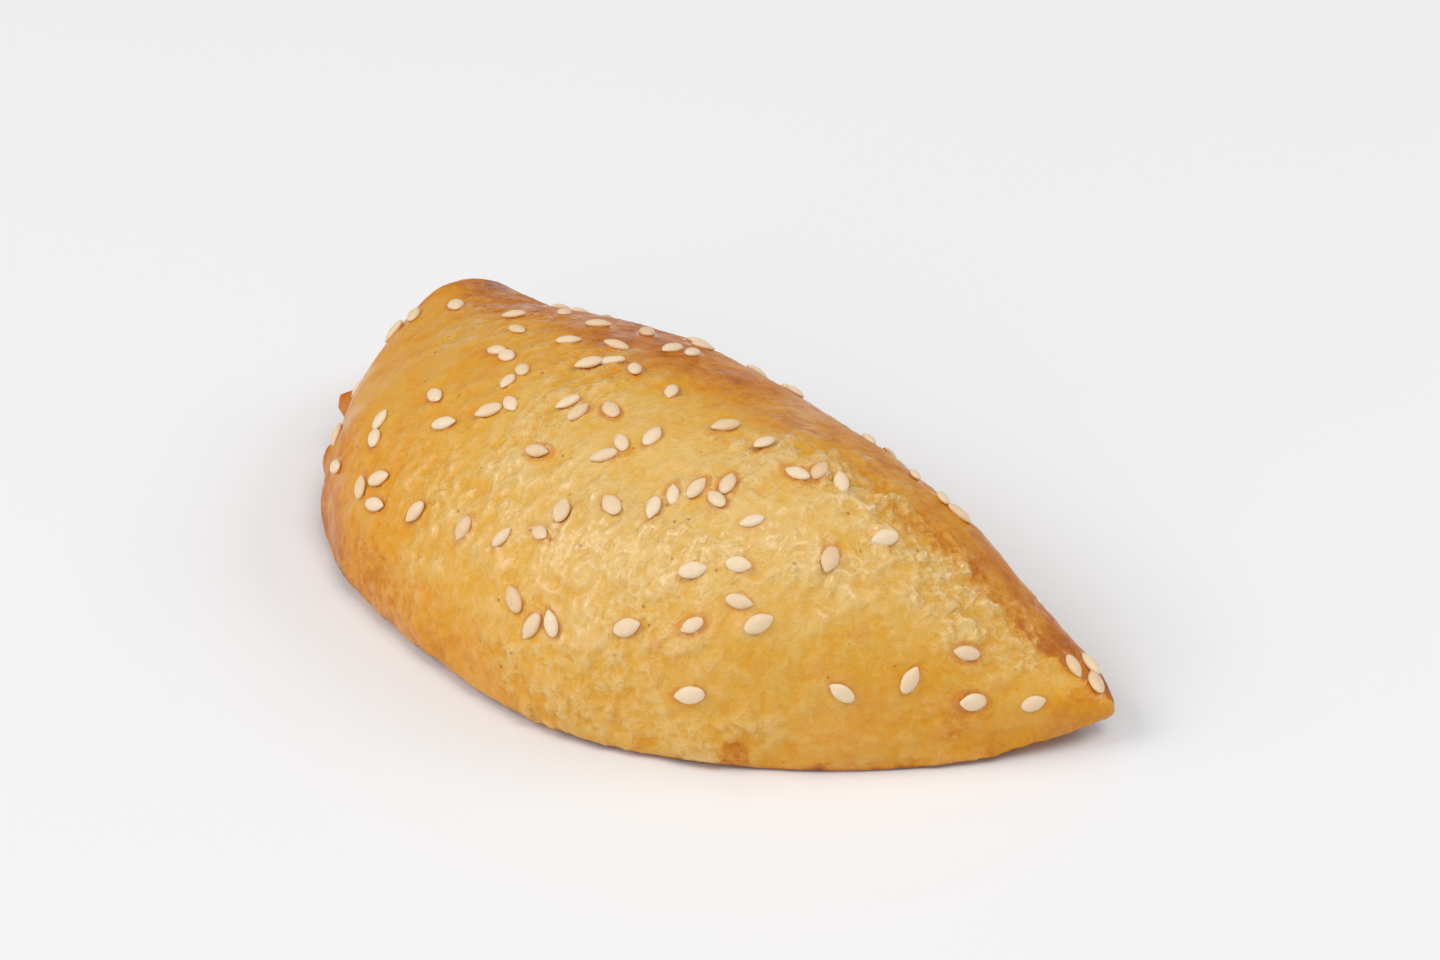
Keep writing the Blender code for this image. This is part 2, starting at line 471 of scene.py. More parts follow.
def write_layer(mesh: bpy.types.Mesh, name: str, kind: str, values: Sequence[float]) -> None:
    """Stores values on a mesh's points under a name, as FLOAT or FLOAT_VECTOR."""
    layer = mesh.attributes.new(name, kind, "POINT")
    layer.data.foreach_set("value" if kind == "FLOAT" else "vector", values)


def noise_at(points: np.ndarray, spacing: float, offset: float = 0.0) -> np.ndarray:
    """Smooth noise from about -1 to 1 at each point. The offset says which noise it is."""
    return np.array([noise.noise(Vector(point / spacing) + Vector((offset,) * 3)) for point in points])


class Bake(Enum):
    """How far the crust is baked, with the colour of each stage."""

    PALE = (0.0, tone(223, 181, 102))
    GOLDEN = (0.26, tone(219, 164, 58))
    AMBER = (0.5, tone(217, 146, 24))
    BROWN = (0.75, tone(190, 106, 12))
    TOASTED = (1.0, tone(116, 62, 20))

    @property
    def stop(self) -> tuple[float, Colour]:
        """The stage's place on the scale and its colour."""
        return self.value


class Finish:
    """A baked surface. Each kind has its own name and says what feeds its shader."""

    name = "baked"

    def sockets(self, bench: Bench, place: Wire) -> dict[str, object]:
        """What feeds the shader.

        Args:
            bench: The material's bench.
            place: The surface point, in Object coordinates.

        Returns:
            A value or a wire for each of the shader's sockets.
        """
        raise NotImplementedError

    def material(self) -> bpy.types.Material:
        """Makes the finish's material.

        Returns:
            The material.
        """
        made = bpy.data.materials.new(self.name)
        made.use_nodes = True
        made.node_tree.nodes.clear()
        bench = Bench(made.node_tree)
        place = bench.wire(bench.add("ShaderNodeTexCoord"), "Object")
        shader = bench.add("ShaderNodeBsdfPrincipled", inputs=self.sockets(bench, place))
        bench.add("ShaderNodeOutputMaterial", inputs={"Surface": bench.wire(shader)})
        return made


@dataclass(frozen=True)
class CrustFinish(Finish):
    """Egg-washed, oven-browned dough, which reads its mesh's browning, wash, crest and wrinkled."""

    name = "egg_washed_crust"
    # The pale cream on crests and creases is a painted highlight, partly thinner egg wash.
    raised: Colour = tone(238, 204, 146)
    highlight_share: float = 0.5
    highlight_on_crests: float = 0.55
    highlight_on_creases: float = 0.25
    highlight_where_pale: Ramp = Ramp(0.15, 0.7, 1.0, 0.25)
    # The wash colour, for pooled egg wash and for the painted shade round the seeds.
    glaze_and_seed_shade: Colour = tone(206, 124, 32)
    glaze_share: float = 0.6
    glaze_shows: Ramp = Ramp(0.35, 0.9)
    speck: Colour = tone(132, 84, 36)
    speck_share: float = 0.5
    speck_spacing: float = 2.6 * MM
    speck_edge: Ramp = Ramp(0.084, 0.035)
    speck_pit: float = 2.0
    base_stage: float = 0.06
    mottle: Swell = Swell(3.4 * MM, 3.0, 0.8, 3.0)
    mottle_tint: float = 0.56
    crinkle: Swell = Swell(1.1 * MM, 2.0, 1.4, 5.0)
    crinkle_tint: float = 0.30
    crinkle_depth: float = 0.14 * MM
    creases: Patches = (2.1 * MM, 31.0)
    fine_creases: Patches = (1.155 * MM, 37.0)
    fine_crease_share: float = 0.6
    # How much paler the creases are painted, as a highlight.
    crease_highlight_tint: float = 0.14
    crease_depth: float = 0.09 * MM
    # How much paler the crests are painted, as a highlight.
    crest_highlight_tint: float = 0.14
    grain: Swell = Swell(0.4 * MM, 2.0, 0.3, 11.0)
    grain_depth: float = 0.05 * MM
    gloss: Swell = Swell(7.0 * MM, 1.0, 0.5, 14.0)
    gloss_edge: Ramp = Ramp(0.45, 0.62)
    roughness: float = 0.46
    mottle_roughness: float = 0.25
    crinkle_roughness: float = 0.15
    wash_smoothness: float = 0.14
    gloss_smoothness: float = 0.08
    specular: float = 0.22
    coat: float = 0.03
    coat_on_smooth: float = 0.3
    coat_on_creases: float = 0.35
    coat_roughness: float = 0.17
    subsurface: float = 0.06
    subsurface_reach: float = 1.2 * MM
    subsurface_tint: tuple[float, float, float] = (1.0, 0.55, 0.25)

    def sockets(self, bench: Bench, place: Wire) -> dict[str, object]:
        """What feeds the shader: colour, gloss and fine relief from the same few patterns.

        Args:
            bench: The material's bench.
            place: The surface point, in Object coordinates.

        Returns:
            A value or a wire for each of the shader's sockets.
        """
        crest = bench.attribute("crest")
        # Pooled wash, with the painted shade round the seeds.
        pooled = bench.ease(bench.attribute("wash"), self.glaze_shows)
        mottle = bench.noise(place, self.mottle) - 0.5
        crinkle = bench.noise(place, self.crinkle) - 0.5
        fine_creases = bench.ridges(place, *self.fine_creases) * self.fine_crease_share
        creases = bench.ridges(bench.pleats(place), *self.creases) + fine_creases
        creases = creases * bench.attribute("wrinkled")
        specks = bench.ease(bench.cells(place, self.speck_spacing), self.speck_edge)
        glossy = bench.ease(bench.noise(place, self.gloss), self.gloss_edge)

        grain = bench.noise(place, self.grain) - specks * self.speck_pit
        relief = grain * self.grain_depth + crinkle * self.crinkle_depth + creases * self.crease_depth
        skin = bench.add("ShaderNodeBump", inputs={"Strength": 1.0, "Distance": 1.0, "Height": relief})
        roughness = self.roughness + mottle * self.mottle_roughness + crinkle * self.crinkle_roughness
        roughness = roughness - pooled * self.wash_smoothness - glossy * self.gloss_smoothness
        coat = (glossy + pooled + crest) * self.coat_on_smooth + creases * self.coat_on_creases + self.coat
        # Crests and creases are painted paler here: a painted highlight.
        tint = mottle * self.mottle_tint - crest * self.crest_highlight_tint - creases * self.crease_highlight_tint
        tint = tint - crinkle * self.crinkle_tint
        # How much of the painted highlight each point takes.
        raised = crest * self.highlight_on_crests + creases * self.highlight_on_creases
        return {
            "Base Color": self._colour(bench, tint, raised, pooled, specks),
            "Roughness": roughness,
            "Normal": bench.wire(skin),
            "Specular IOR Level": self.specular,
            "Coat Weight": coat,
            "Coat Roughness": self.coat_roughness,
            "Subsurface Weight": self.subsurface,
            "Subsurface Radius": self.subsurface_tint,
            "Subsurface Scale": self.subsurface_reach,
        }

    def _colour(self, bench: Bench, tint: Wire, raised: Wire, pooled: Wire, specks: Wire) -> Wire:
        """The crust's colour.

        Args:
            bench: The material's bench.
            tint: How much further each place is baked than its browning says, less on the crests and
                creases, which are painted paler as a highlight.
            raised: How far it stands up, and so how much painted highlight it takes.
            pooled: How much egg wash lies there, which round the seeds is also painted shade.
            specks: 1 on the dark specks.

        Returns:
            The colour.
        """
        browning = bench.attribute("browning")
        stage = browning + tint + self.base_stage
        ramp = bench.add("ShaderNodeValToRGB", {"stops": [bake.stop for bake in Bake]}, {0: stage})
        # The painted highlight on crests and creases, most where the crust is pale.
        pale = raised * bench.ease(browning, self.highlight_where_pale) * self.highlight_share
        crumb = bench.blend(bench.wire(ramp), self.raised, pale)
        crumb = bench.blend(crumb, self.glaze_and_seed_shade, pooled * self.glaze_share)
        return bench.blend(crumb, self.speck, specks * self.speck_share)


@dataclass(frozen=True)
class SeedFinish(Finish):
    """Hulled sesame, ivory on top, with egg wash and painted shade low down, reading toast and seat."""

    name = "hulled_sesame"
    ivory: Colour = tone(235, 212, 178)
    toasted: Colour = tone(220, 180, 132)
    toast_share: float = 0.7
    # Amber on the seed's lower side: egg wash, and painted shade where it meets the crust.
    glaze_and_shade: Colour = tone(202, 138, 66)
    glaze_and_shade_low: Ramp = Ramp(0.45, 0.95, 0.0, 0.85)
    streaks: Swell = Swell(0.5 * MM, 2.0, 0.4, 2.0)
    streak_share: float = 0.5
    streak_depth: float = 0.02 * MM
    streak_roughness: float = 0.15
    roughness: float = 0.4
    specular: float = 0.3
    subsurface: float = 0.2
    subsurface_reach: float = 0.8 * MM
    subsurface_tint: tuple[float, float, float] = (1.0, 0.75, 0.45)

    def sockets(self, bench: Bench, place: Wire) -> dict[str, object]:
        """What feeds the shader: a hull with fine streaks, amber low down with egg wash and painted shade.

        Args:
            bench: The material's bench.
            place: The surface point, in Object coordinates.

        Returns:
            A value or a wire for each of the shader's sockets.
        """
        streaks = bench.noise(place, self.streaks)
        uneven = streaks - 0.5
        toasting = bench.attribute("toast") * self.toast_share + uneven * self.streak_share
        hull = bench.blend(self.ivory, self.toasted, toasting)
        low_glaze_and_shade = bench.ease(bench.attribute("seat"), self.glaze_and_shade_low)
        relief = {"Strength": 1.0, "Distance": self.streak_depth, "Height": streaks}
        # The lower side takes the amber: egg wash and painted shade.
        return {
            "Base Color": bench.blend(hull, self.glaze_and_shade, low_glaze_and_shade),
            "Roughness": self.roughness + uneven * self.streak_roughness,
            "Normal": bench.wire(bench.add("ShaderNodeBump", inputs=relief)),
            "Specular IOR Level": self.specular,
            "Subsurface Weight": self.subsurface,
            "Subsurface Radius": self.subsurface_tint,
            "Subsurface Scale": self.subsurface_reach,
        }


@dataclass(frozen=True)
class Tip:
    """One end of the half moon and how the body runs out to it."""

    nose_y: float
    nose_width: float
    nose_height: float
    nose_share: float
    lift: float
    rim_power: float
    rim_round: float
    ridge_power: float
    ridge_round: float


BLUNT_TIP = Tip(
    nose_y=-6.8 * MM,
    nose_width=7.4 * MM,
    nose_height=9.8 * MM,
    nose_share=0.08,
    lift=4.0 * MM,
    rim_power=3.9,
    rim_round=0.92,
    ridge_power=2.0,
    ridge_round=0.78,
)
POINTED_TIP = Tip(
    nose_y=1.0 * MM,
    nose_width=6.0 * MM,
    nose_height=5.4 * MM,
    nose_share=0.11,
    lift=1.8 * MM,
    rim_power=2.2,
    rim_round=0.94,
    ridge_power=3.0,
    ridge_round=2.0,
)


@dataclass
class HalfMoon:
    """The pastry's form: a dome on a flat base, from a thin sealed rim to a rounded fold."""

    length: float = 100.0 * MM
    height: float = 25.4 * MM
    rim_reach: float = 44.8 * MM
    fold_reach: float = 4.0 * MM
    ridge_setback: float = 17.7 * MM
    peak_place: float = 0.27
    rim_level: float = 2.7 * MM
    fold_level: float = 9.6 * MM
    tip_line_y: float = 20.4 * MM
    rim_slope: float = 1.9
    fold_slope: float = 2.2
    rim_base_slope: float = 4.0
    fold_base_slope: float = 3.0
    base_overshoot: float = 1.3
    nose_level: float = 0.45
    rim_level_hold: int = 6
    fold_round: float = 0.8
    lift_start: float = 0.7
    top_share: float = 0.84
    stations: int = 400
    steps_round: int = 245
    weld: float = 0.0004 * MM

    def plan_edges(self, place: np.ndarray) -> tuple[np.ndarray, np.ndarray]:
        """The rim's and the fold's Y, from the line of the tips.

        Args:
            place: Places along the half length, from -1 to 1.

        Returns:
            The rim's Y and the fold's Y at each place.
        """

        def of_tip(name: str) -> np.ndarray:
            """One of the tip's sizes, taken from the tip that each place belongs to."""
            return np.where(place < 0.0, getattr(BLUNT_TIP, name), getattr(POINTED_TIP, name))

        away = np.abs(place)
        rim_run = np.maximum(0.0, 1.0 - away ** of_tip("rim_power")) ** of_tip("rim_round")
        fold_run = np.maximum(0.0, 1.0 - away**2) ** self.fold_round
        rim_end = of_tip("nose_y") - of_tip("nose_width") / 2.0
        fold_end = of_tip("nose_y") + of_tip("nose_width") / 2.0
        rim = rim_end + (-self.rim_reach - rim_end) * rim_run
        fold = fold_end + (self.fold_reach - fold_end) * fold_run
        return rim, fold

    def loft(self, material: bpy.types.Material) -> bpy.types.Object:
        """The smooth body, lofted by Geometry Nodes.

        Args:
            material: The crust's material.

        Returns:
            The body as one closed mesh.
        """
        sizes = {
            "Length": self.length,
            "Height": self.height,
            "Rim Reach": self.rim_reach,
            "Fold Reach": self.fold_reach,
            "Ridge Setback": self.ridge_setback,
            "Peak Place": self.peak_place,
            "Rim Level": self.rim_level,
            "Fold Level": self.fold_level,
            "Stations": self.stations,
            "Steps Round": self.steps_round,
        }
        recipe = Recipe("half_moon_loft", sizes)
        bench = recipe.bench
        size = recipe.size
        steps = {"Vertices X": size("Stations"), "Vertices Y": size("Steps Round")}
        grid = bench.add("GeometryNodeMeshGrid", inputs={"Size X": 1.0, "Size Y": 1.0, **steps})
        across, round_it, _ = bench.split(bench.wire(bench.add("GeometryNodeInputPosition")))
        place = 0.0 - bench.math("COSINE", (across + 0.5) * math.pi)
        angle = self._angle(bench, round_it + 0.5)
        moved = recipe.place(bench.wire(grid), Position=self._section(recipe, place, angle))
        welded = bench.add("GeometryNodeMergeByDistance", inputs={"Geometry": moved, "Distance": self.weld})
        recipe.close(bench.wire(welded), material)
        return recipe.run(new_object("golden_crust"))

    def _angle(self, bench: Bench, share: Wire) -> Wire:
        """The angle round a section, with most of the steps spent on the dome.

        Args:
            bench: The tree's bench.
            share: How many of the steps lie behind, from 0 to 1.

        Returns:
            The angle, from 0 at the fold over the dome to a full turn.
        """
        over = bench.math("MINIMUM", share / self.top_share, 1.0)
        under = bench.math("MAXIMUM", (share - self.top_share) / (1.0 - self.top_share), 0.0)
        return (over + under) * math.pi

    def _section(self, recipe: Recipe, place: Wire, angle: Wire) -> Wire:
        """The surface point at a place along the body and an angle round its section.

        Args:
            recipe: The recipe that holds the sizes.
            place: The place along the half length, from -1 to 1.
            angle: The angle round the section.

        Returns:
            The point.
        """
        bench, size, math_of = recipe.bench, recipe.size, recipe.bench.math

        def of_tip(name: str, is_blunt: Wire) -> Wire:
            """One of the tip's sizes, taken from the tip that the place belongs to."""
            blunt, pointed = getattr(BLUNT_TIP, name), getattr(POINTED_TIP, name)
            return is_blunt * (blunt - pointed) + pointed

        def run_out(at: Wire, power: Number, roundness: Number) -> Wire:
            """1 at the middle of the body, falling to 0 at a tip."""
            return math_of("MAXIMUM", 1.0 - math_of("ABSOLUTE", at) ** power, 0.0) ** roundness

        blunt = place < 0.0
        away = math_of("ABSOLUTE", place)
        half = of_tip("nose_width", blunt) / 2.0
        nose_y = of_tip("nose_y", blunt)
        nose_height = of_tip("nose_height", blunt)
        rim_run = run_out(place, of_tip("rim_power", blunt), of_tip("rim_round", blunt))
        fold_run = run_out(place, 2.0, self.fold_round)
        rim = bench.mix(nose_y - half, 0.0 - size("Rim Reach"), rim_run)
        fold = bench.mix(nose_y + half, size("Fold Reach"), fold_run)
        middle = (rim + fold) / 2.0
        ridge = bench.mix(middle, 0.0 - size("Ridge Setback"), run_out(place, 2.0, 1.0))

        beyond_peak = place - size("Peak Place")
        before = beyond_peak < 0.0
        reach = beyond_peak / (1.0 + size("Peak Place") * (before * 2.0 - 1.0))
        tall = run_out(reach, of_tip("ridge_power", before), of_tip("ridge_round", before))
        crown = bench.mix(of_tip("nose_height", before), size("Height"), tall)

        along, up = math_of("COSINE", angle), math_of("SINE", angle)
        rimward, under = along < 0.0, up < 0.0
        rim_level = bench.mix(size("Rim Level"), nose_height * self.nose_level, away**self.rim_level_hold)
        fold_level = bench.mix(nose_height * self.nose_level, size("Fold Level"), fold_run)
        level = bench.mix(rim_level, fold_level, (along + 1.0) / 2.0)
        top_slope = rimward * (self.rim_slope - self.fold_slope) + self.fold_slope
        base_slope = rimward * (self.rim_base_slope - self.fold_base_slope) + self.fold_base_slope
        slope = bench.mix(top_slope, base_slope, under)
        stretch = bench.mix(fold - ridge, ridge - rim, rimward)
        rise = bench.mix(crown - level, level * self.base_overshoot, under)
        y = ridge + math_of("SIGN", along) * stretch * math_of("ABSOLUTE", along) ** (2.0 / slope)
        z = level + math_of("SIGN", up) * rise * math_of("ABSOLUTE", up) ** (2.0 / slope)
        z = math_of("MAXIMUM", z, 0.0)

        share = of_tip("nose_share", blunt)
        past = math_of("MAXIMUM", (away - 1.0 + share) / share, 0.0)
        nose = math_of("SQRT", math_of("MAXIMUM", 1.0 - past * past, 0.0))
        raised = math_of("MAXIMUM", (away - self.lift_start) / (1.0 - self.lift_start), 0.0)
        lift = of_tip("lift", blunt) * raised * raised
        return bench.vector(
            place * size("Length") / 2.0,
            bench.mix(middle, y, nose) + self.tip_line_y,
            bench.mix(crown * self.nose_level, z, nose) + lift,
        )


@dataclass
class Crust:
    """The pastry's baked skin: its swells, rim puckers, nibs, wrinkles and browning."""

    form: HalfMoon = field(default_factory=HalfMoon)
    finish: CrustFinish = field(default_factory=CrustFinish)
    lump_depth: float = 0.45 * MM
    lump_spacing: float = 11.0 * MM
    pucker_depth: float = 0.7 * MM
    pucker_spacing: float = 6.0 * MM
    pucker_height: Ramp = Ramp(0.0, 8.0 * MM, 1.0, 0.0)
    pucker_slice: float = 7.0
    swells_above_base: Ramp = Ramp(0.4 * MM, 3.5 * MM)
    nibs: tuple[tuple[float, float], ...] = ((-0.93, 1.1 * MM), (-0.855, 2.2 * MM), (-0.72, 0.9 * MM))
    nib_width: float = 0.014
    nib_level: float = 6.4 * MM
    nib_height: Ramp = Ramp(0.5 * MM, 2.5 * MM, 1.0, 0.0)
    nib_over: Ramp = Ramp(0.55, 0.35)

    wrinkle_depth: float = 0.42 * MM
    wrinkles: Swell = Swell(3.6 * MM, 2.0, 0.6, 6.0)
    wrinkle_sink: float = 0.4
    fold_share: float = 0.7
    wrinkle_seed: float = 1.0
    fine_wrinkle_seed: float = 2.0
    fine_wrinkle_spacing: float = 0.6
    fine_wrinkle_share: float = 0.7
    wrinkles_above_base: Ramp = Ramp(0.15 * MM, 1.2 * MM)
    dimple_depth: float = 0.20 * MM
    dimples: Swell = Swell(7.0 * MM, 1.0, 0.4, 7.0)
    dimple_sink: float = 0.2
    ragged_depth: float = 0.40 * MM
    ragged_edge: Swell = Swell(1.8 * MM, 2.0, 0.8, 9.0)
    ragged_sink: float = 0.1
    ragged_height: Ramp = Ramp(0.8 * MM, 3.0 * MM, 1.0, 0.0)
    wrinkled_patches: Swell = Swell(15.0 * MM, 1.0, 0.0, 4.0)
    patch_edge: Ramp = Ramp(0.36, 0.6, 0.4, 1.0)
    calm_blunt_end: Ramp = Ramp(-38.0 * MM, 2.0 * MM, 0.4, 1.0)
    calm_rim: Ramp = Ramp(0.0, 0.2, 0.75, 1.0)
    calm_fold: Ramp = Ramp(0.55, 0.8, 1.0, 0.25)
    calm_noses: Ramp = Ramp(38.0 * MM, 47.0 * MM, 1.0, 0.3)
    shoulder_rimward: Ramp = Ramp(0.40, 0.55)
    shoulder_foldward: Ramp = Ramp(0.64, 0.80, 1.0, 0.0)
    shoulder_along: Ramp = Ramp(10.0 * MM, 30.0 * MM, 0.0, 0.25)

    blunt_end: Zone = Zone(0.15, -0.55, end=0.34, drift=-0.07)
    blunt_nose: Zone = Zone(-0.86, -0.97, end=0.34, drift=0.01)
    pointed_end: Zone = Zone(0.50, 0.88, end=0.24, drift=0.04)
    pointed_nose: Zone = Zone(0.93, 0.97, end=0.30, drift=0.012)
    fold_side: Zone = Zone(0.46, 0.74, end=0.52, drift=0.04)
    fold_side_pointed: Zone = Zone(0.56, 0.66, end=0.50, drift=0.05)
    fold_side_before_nose: Ramp = Ramp(-0.88, -0.98, 1.0, 0.0)
    pointed_half: Ramp = Ramp(0.3, 0.8)
    rim_side: Zone = Zone(0.22, 0.02, end=0.20, drift=0.03)
    rim_line: Zone = Zone(0.05, 0.0, end=0.30)
    rim_line_along: Ramp = Ramp(0.5, 0.0)
    # Darker along the bottom edge: browned base and painted contact shade.
    foot_and_contact_shade: Zone = Zone(1.1 * MM, 0.3 * MM, end=0.45)
    low_pools: Zone = Zone(0.16, 0.46, end=0.46)
    pool_height: Ramp = Ramp(6.0 * MM, 2.0 * MM)
    nib_tips: Zone = Zone(0.2 * MM, 1.2 * MM, end=0.10)
    base_facing: Ramp = Ramp(0.45, 0.9)
    base_browning: float = 0.50
    least_browning: float = 0.05
    browning_drift: float = 0.05
    broad_patches: Patches = (13.0 * MM, 3.7)
    small_patches: Patches = (5.0 * MM, 9.1)
    pools: Patches = (3.2 * MM, 33.0)
    flecks: Patches = (1.6 * MM, 41.0)
    # Wash colour round each seed: pooled egg wash and painted contact shade.
    wash_and_shade_round_seeds: Ramp = Ramp(0.1 * MM, 0.9 * MM, 1.0, 0.0)
    wash_level: float = 0.6
    wash_drift: float = 0.9
    stray_patches: Patches = (4.2 * MM, 21.0)
    stray_wash: Ramp = Ramp(0.42, 0.62, 0.0, 0.6)

    def build(self) -> bpy.types.Object:
        """Lofts the body, turns its faces outwards, swells it and wrinkles its skin.

        Returns:
            The crust, not yet browned.
        """
        material = self.finish.material()
        crust = self.form.loft(material)
        self._turn_out(crust.data)
        self._swell(crust.data)
        crust = self._wrinkle(crust, material)
        crust.data.shade_smooth()
        return crust

    @staticmethod
    def _turn_out(mesh: bpy.types.Mesh) -> None:
        """Points every face outwards.

        Args:
            mesh: The mesh to put right.
        """
        work = bmesh.new()
        work.from_mesh(mesh)
        bmesh.ops.recalc_face_normals(work, faces=work.faces)
        work.to_mesh(mesh)
        work.free()

    def _swell(self, mesh: bpy.types.Mesh) -> None:
        """Moves the points along their normals by the solid's own lumps and puckers, and by the nibs.

        Args:
            mesh: The smooth body's mesh.
        """
        points, normals = read_points(mesh, "co"), read_points(mesh, "normal")
        lumps = noise_at(points, self.lump_spacing) * self.lump_depth
        line = np.zeros_like(points)
        line[:, 0] = points[:, 0]
        line[:, 1] = self.pucker_slice * self.pucker_spacing
        puckers = noise_at(line, self.pucker_spacing) * self.pucker_height.over(points[:, 2])
        rise = (lumps + puckers * self.pucker_depth) * self.swells_above_base.over(points[:, 2])
        points += normals * (rise + self._nib_rise(points))[:, None]
        mesh.vertices.foreach_set("co", points.astype(np.float32).ravel())
        mesh.update()

    def _spread(self, points: np.ndarray) -> tuple[np.ndarray, np.ndarray]:
        """Where each point lies, seen from above.

        Args:
            points: The points.

        Returns:
            Their places along the half length, from -1 to 1, and over the body, from 0 at the rim to 1
            at the fold.
        """
        place = np.clip(points[:, 0] / (self.form.length / 2.0), -1.0, 1.0)
        rim, fold = self.form.plan_edges(place)
        return place, (points[:, 1] - self.form.tip_line_y - rim) / np.maximum(fold - rim, 1.0 * MM)

    def _nib_rise(self, points: np.ndarray) -> np.ndarray:
        """How far each point stands out as part of one of the sealed rim's few small nibs.

        Args:
            points: The points.

        Returns:
            A distance for each.
        """
        place, over = self._spread(points)
        rise = np.zeros(len(points))
        for middle, depth in self.nibs:
            rise += depth * np.exp(-(((place - middle) / self.nib_width) ** 2))
        return rise * self.nib_height.over(np.abs(points[:, 2] - self.nib_level)) * self.nib_over.over(over)

    def _wrinkle(self, crust: bpy.types.Object, material: bpy.types.Material) -> bpy.types.Object:
        """Adds the skin's shallow dimples, winding wrinkles and ragged lower edge.

        Args:
            crust: The swollen body.
            material: The crust's material.

        Returns:
            The same object, with its skin.
        """
        sizes = {
            "Wrinkle Depth": self.wrinkle_depth,
            "Wrinkle Spacing": self.wrinkles.spacing,
            "Dimple Depth": self.dimple_depth,
            "Dimple Spacing": self.dimples.spacing,
            "Ragged Depth": self.ragged_depth,
            "Ragged Spacing": self.ragged_edge.spacing,
        }
        recipe = Recipe("crust_wrinkles", sizes)
        bench, size = recipe.bench, recipe.size
        spot = bench.wire(bench.add("GeometryNodeInputPosition"))
        _, _, height = bench.split(spot)
        wrinkled = self._wrinkled(bench, spot)
        pleated = bench.pleats(spot)
        spacing = size("Wrinkle Spacing")
        fine = bench.ridges(pleated, spacing * self.fine_wrinkle_spacing, self.fine_wrinkle_seed)
        crest = bench.ridges(pleated, spacing, self.wrinkle_seed) + fine * self.fine_wrinkle_share
        crest = crest * wrinkled
        folds = bench.swing(pleated, replace(self.wrinkles, spacing=spacing)) * wrinkled
        dimples = bench.swing(spot, replace(self.dimples, spacing=size("Dimple Spacing")))
        ragged = bench.swing(spot, replace(self.ragged_edge, spacing=size("Ragged Spacing")))
        ragged = (ragged - self.ragged_sink) * bench.ease(height, self.ragged_height)
        rise = (crest + folds * self.fold_share - self.wrinkle_sink) * size("Wrinkle Depth")
        rise = rise + (dimples - self.dimple_sink) * size("Dimple Depth") + ragged * size("Ragged Depth")
        outwards = {
            "Vector": bench.wire(bench.add("GeometryNodeInputNormal")),
            "Scale": rise * bench.ease(height, self.wrinkles_above_base),
        }
        moves = bench.add("ShaderNodeVectorMath", {"operation": "SCALE"}, outwards)
        marked = recipe.store(size("Geometry"), "crest", crest)
        marked = recipe.store(marked, "wrinkled", wrinkled)
        recipe.close(recipe.place(marked, Offset=bench.wire(moves)), material)
        return recipe.run(crust)

    def _wrinkled(self, bench: Bench, spot: Wire) -> Wire:
        """How wrinkled the skin is: most in patches of the middle, least at the noses and the fold.

        Args:
            bench: The tree's bench.
            spot: The surface point.

        Returns:
            0 for smooth to about 1 for most wrinkled.
        """
        along, side, _ = bench.split(spot)
        over = self._over(along, side)
        patches = bench.ease(bench.noise(spot, self.wrinkled_patches), self.patch_edge)
        patches = patches * bench.ease(along, self.calm_blunt_end)
        patches = patches * bench.ease(over, self.calm_rim) * bench.ease(over, self.calm_fold)
        shoulder = bench.ease(over, self.shoulder_rimward) * bench.ease(over, self.shoulder_foldward)
        patches = patches + shoulder * bench.ease(along, self.shoulder_along)
        return patches * bench.ease(bench.math("ABSOLUTE", along), self.calm_noses)

    def _over(self, along: Wire, side: Wire) -> Wire:
        """About how far over the body a point lies.

        Args:
            along: The point's X.
            side: The point's Y.

        Returns:
            0 at the rim to 1 at the fold.
        """
        form = self.form
        away = along * 2.0 / form.length
        rim = form.tip_line_y - form.rim_reach * (1.0 - away * away)
        return (side - rim) / (form.tip_line_y + form.fold_reach - rim)

    def brown(self, crust: bpy.types.Object, gaps: np.ndarray) -> None:
        """Writes how far each point is browned, and how much egg wash pooled there, with painted shade
        round the seeds.

        Args:
            crust: The finished crust.
            gaps: How far each of its points lies from a seed, where the wash gathers and shade is painted.
        """
        points, normals = read_points(crust.data, "co"), read_points(crust.data, "normal")
        patchy = noise_at(points, *self.small_patches)
        base = self.base_facing.over(-normals[:, 2])
        # The ring round each seed is pooled wash and painted contact shade.
        wash = self.wash_and_shade_round_seeds.over(gaps) * (self.wash_level + self.wash_drift * patchy)
        wash = np.maximum(wash, self.stray_wash.over(noise_at(points, *self.stray_patches)))
        layers = {
            "browning": self._browning(points, base, patchy),
            "wash": np.clip(wash, 0.0, 1.0) * (1.0 - base),
        }
        for name, values in layers.items():
            write_layer(crust.data, name, "FLOAT", np.clip(values, 0.0, 1.0).astype(np.float32))

